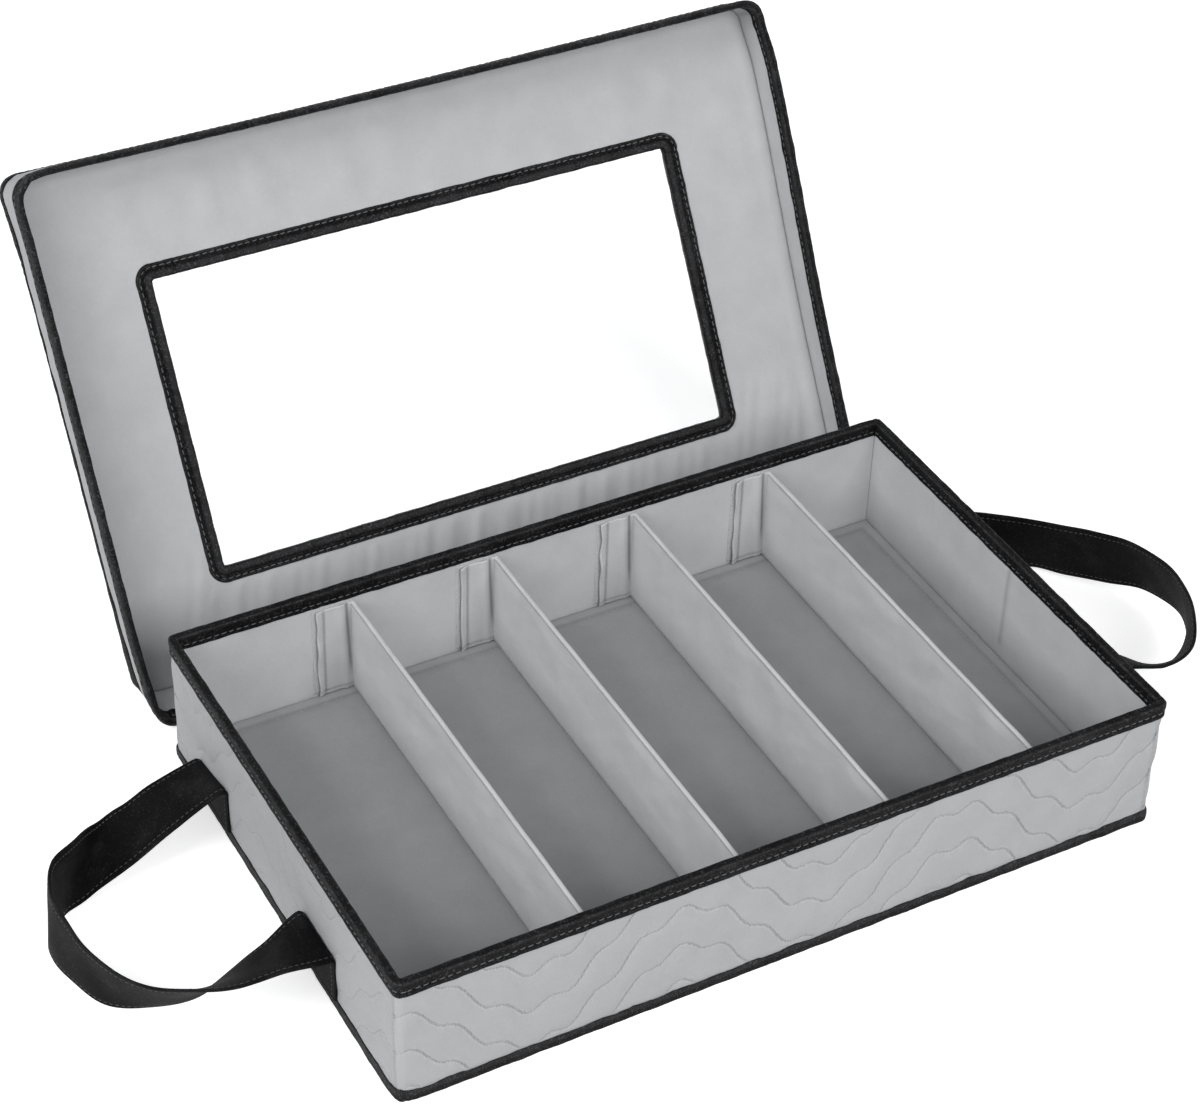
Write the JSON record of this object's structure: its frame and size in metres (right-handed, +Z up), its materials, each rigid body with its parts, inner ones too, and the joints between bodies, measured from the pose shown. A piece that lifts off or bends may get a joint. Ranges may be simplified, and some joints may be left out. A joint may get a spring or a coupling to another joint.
{
  "type": "flatware storage case",
  "caption": "Soft-sided fabric flatware case with divided compartments, webbing handles and a lift-off lid with a clear window.",
  "frame": {"origin": "on the table, under the middle of the case", "axes": "+X to the right along the case's front, +Y to the back towards the lid, +Z up"},
  "size_m": [0.6434, 0.4669, 0.2609],
  "materials": {
    "outer_fabric": "matte",
    "lining_fabric": "matte",
    "pad_fabric": "matte",
    "tape": "matte",
    "webbing": "satin",
    "grip": "matte",
    "board": "matte",
    "clear_film": "gloss"
  },
  "bodies": {
    "case": {"bottom_cover": "outer_fabric", "bottom_board": "board", "bottom_tape": "tape", "floor_pad": "pad_fabric", "rim_tape": "tape", "grip_strips_back": "grip", "grip_strips_front": "grip", "left_strap_tails": "webbing", "right_strap_tails": "webbing", "front_cover": "outer_fabric", "back_cover": "outer_fabric", "left_cover": "outer_fabric", "right_cover": "outer_fabric", "front_lining": "lining_fabric", "back_lining": "lining_fabric", "left_lining": "lining_fabric", "right_lining": "lining_fabric", "front_board": "board", "back_board": "board", "left_board_front": "board", "left_board_rear": "board", "right_board_front": "board", "right_board_rear": "board"},
    "lid": {"lid_cover": "outer_fabric", "lid_board": "board", "lid_lining": "lining_fabric", "lid_window": "clear_film", "window_tape_inner": "tape", "window_tape_outer": "tape", "lid_skirt_lining_front": "lining_fabric", "lid_skirt_lining_back": "lining_fabric", "lid_skirt_lining_left": "lining_fabric", "lid_skirt_lining_right": "lining_fabric", "lid_skirt_cover_front": "outer_fabric", "lid_skirt_cover_back": "outer_fabric", "lid_skirt_cover_left": "outer_fabric", "lid_skirt_cover_right": "outer_fabric", "lid_edge_tape": "tape", "lid_seam_tape": "tape"},
    "left_handle": {"left_strap": "webbing"},
    "right_handle": {"right_strap": "webbing"},
    "divider_1": {"divider_1_cover": "lining_fabric", "divider_1_board": "board"},
    "divider_2": {"divider_2_cover": "lining_fabric", "divider_2_board": "board"},
    "divider_3": {"divider_3_cover": "lining_fabric", "divider_3_board": "board"},
    "divider_4": {"divider_4_cover": "lining_fabric", "divider_4_board": "board"}
  },
  "joints": [
    {"name": "lid_turn", "type": "hinge", "parent": "case", "child": "lid", "pos_m": [0, 0.13883, 0.03108], "axis": [1, 0, 0], "range_deg": [0, 121]},
    {"name": "left_handle_swing", "type": "hinge", "parent": "case", "child": "left_handle", "pos_m": [-0.2162, 0.015, 0.035], "axis": [0, 1, 0], "range_deg": [0, 55]},
    {"name": "right_handle_swing", "type": "hinge", "parent": "case", "child": "right_handle", "pos_m": [0.2162, 0.015, 0.035], "axis": [0, -1, 0], "range_deg": [0, 55]},
    {"name": "divider_1_lift", "type": "slide", "parent": "case", "child": "divider_1", "axis": [0, 0, -1], "range_m": [-0.075, 0]},
    {"name": "divider_2_lift", "type": "slide", "parent": "case", "child": "divider_2", "axis": [0, 0, -1], "range_m": [-0.075, 0]},
    {"name": "divider_3_lift", "type": "slide", "parent": "case", "child": "divider_3", "axis": [0, 0, -1], "range_m": [-0.075, 0]},
    {"name": "divider_4_lift", "type": "slide", "parent": "case", "child": "divider_4", "axis": [0, 0, -1], "range_m": [-0.075, 0]}
  ]
}
